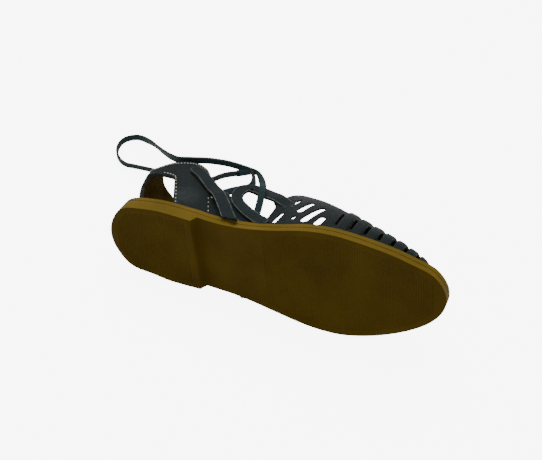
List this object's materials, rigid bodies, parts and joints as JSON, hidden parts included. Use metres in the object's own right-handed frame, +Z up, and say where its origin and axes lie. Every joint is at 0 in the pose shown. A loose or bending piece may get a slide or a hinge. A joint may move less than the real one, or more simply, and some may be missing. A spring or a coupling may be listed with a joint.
{
  "type": "lace-up flat sandal",
  "caption": "Left woman's flat sandal lying on its outer side: hollow cut-out leather upper, raised toe bands, heel quarters, instep loops, lace and a tan sole.",
  "frame": {"origin": "centre of the lying shoe's box, on the floor, without the free lace", "axes": "+X along the line where the outer edge of the sole rests, towards the toe; +Y away from the sole, towards the foot; +Z up"},
  "size_m": [0.3347, 0.1476, 0.0889],
  "materials": {
    "outsole": "matt, fine cross ribs, mustard tan",
    "midsole": "matt, mustard tan, lighter at the edge",
    "lining": "smooth natural tan lining",
    "upper": "dark teal leather, soft sheen",
    "straps": "dark teal leather, soft sheen, cut edges",
    "lace": "flat dark teal leather thong, 5 mm wide"
  },
  "bodies": {
    "root": {"outsole": "outsole", "midsole": "midsole", "insole": "lining", "vamp": "upper", "heel_quarters": "upper", "quarter_strap_inner": "straps", "quarter_strap_outer": "straps", "instep_loop_inner": "straps", "instep_loop_outer": "straps", "waist_strap_inner": "straps", "waist_strap_outer": "straps", "lace_crossing": "lace", "ankle_lace": "lace"}
  },
  "joints": []
}
